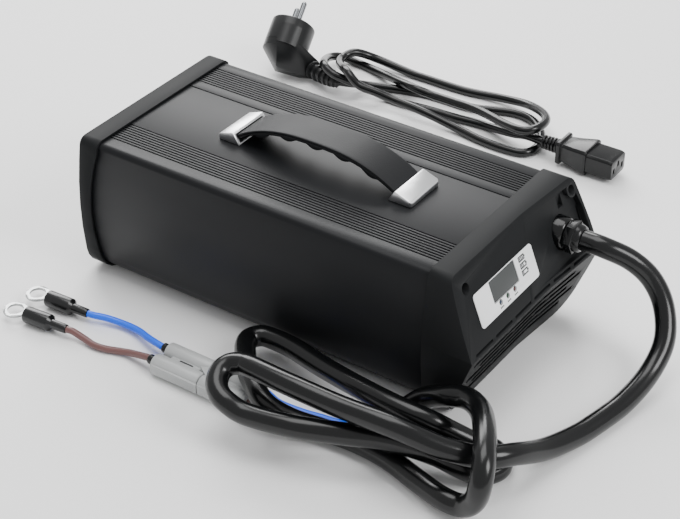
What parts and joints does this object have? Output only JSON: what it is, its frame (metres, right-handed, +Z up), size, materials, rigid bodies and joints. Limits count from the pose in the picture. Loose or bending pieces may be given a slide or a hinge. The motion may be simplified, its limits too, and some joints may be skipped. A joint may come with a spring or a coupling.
{
  "type": "battery charger",
  "caption": "Portable battery charger: ribbed black housing with a carrying handle, slanted display end, battery cable with ring terminals, and a mains lead.",
  "frame": {"origin": "on the surface the charger stands on, under the middle of the charger without its cables", "axes": "+X along the housing towards the display end, +Y away from the side where the battery cable lies, +Z up"},
  "size_m": [0.4869, 0.4935, 0.1318],
  "materials": {
    "aluminium": "bare aluminium",
    "blue": "blue wire insulation",
    "board": "green circuit board",
    "brass": "plated brass",
    "bright": "polished metal",
    "brown": "brown wire insulation",
    "copper": "enamelled copper winding",
    "dark": "dark varnish",
    "gloss": "smooth black plastic",
    "grey": "light grey plastic",
    "lamp_blue": "blue lens",
    "lamp_green": "green lens",
    "lamp_red": "red lens",
    "plastic": "black moulded plastic",
    "powder": "fine black powder coat",
    "rubber": "matt rubber",
    "screw": "blackened steel",
    "sheath": "black cable sheath",
    "steel": "steel",
    "white": "white printed film",
    "window": "grey display glass"
  },
  "bodies": {
    "charger": {"ac_inlet": "gloss", "battery_cable": "sheath", "board_rail_front": "aluminium", "board_rail_rear": "aluminium", "body_shell": "powder", "boot_blue": "sheath", "boot_brown": "sheath", "capacitor_front": "dark", "capacitor_rear": "dark", "choke": "copper", "clamp_left": "bright", "clamp_right": "bright", "connector_battery_half": "grey", "connector_cable_half": "grey", "core_blue": "blue", "core_brown": "brown", "display_board": "board", "display_overlay": "white", "display_window": "window", "fan_frame": "plastic", "fan_guard": "steel", "foot_1": "rubber", "foot_2": "rubber", "foot_3": "rubber", "foot_4": "rubber", "front_cap": "plastic", "front_screw_1": "screw", "front_screw_2": "screw", "gland_body": "gloss", "gland_dome": "gloss", "gland_locknut": "gloss", "handle_strap": "plastic", "heatsink_front": "aluminium", "heatsink_rear": "aluminium", "inlet_blade_earth": "brass", "inlet_blade_live": "brass", "inlet_blade_neutral": "brass", "lamp_1": "lamp_blue", "lamp_2": "lamp_green", "lamp_3": "lamp_red", "main_board": "board", "mains_connector": "gloss", "mains_cord": "sheath", "plug_body": "gloss", "plug_pin_far": "bright", "plug_pin_near": "bright", "rear_cap": "plastic", "rear_screw_1": "screw", "rear_screw_2": "screw", "rear_screw_3": "screw", "rear_screw_4": "screw", "sleeve_blue": "gloss", "sleeve_brown": "gloss", "terminal_blue": "bright", "terminal_brown": "bright", "transformer": "dark", "wire_blue": "blue", "wire_brown": "brown"},
    "fan": {"fan_rotor": "plastic"}
  },
  "joints": [
    {"name": "fan_spin", "type": "hinge", "parent": "charger", "child": "fan", "pos_m": [-0.16175, 0.034, 0.055], "axis": [1, 0, 0], "continuous": true}
  ]
}
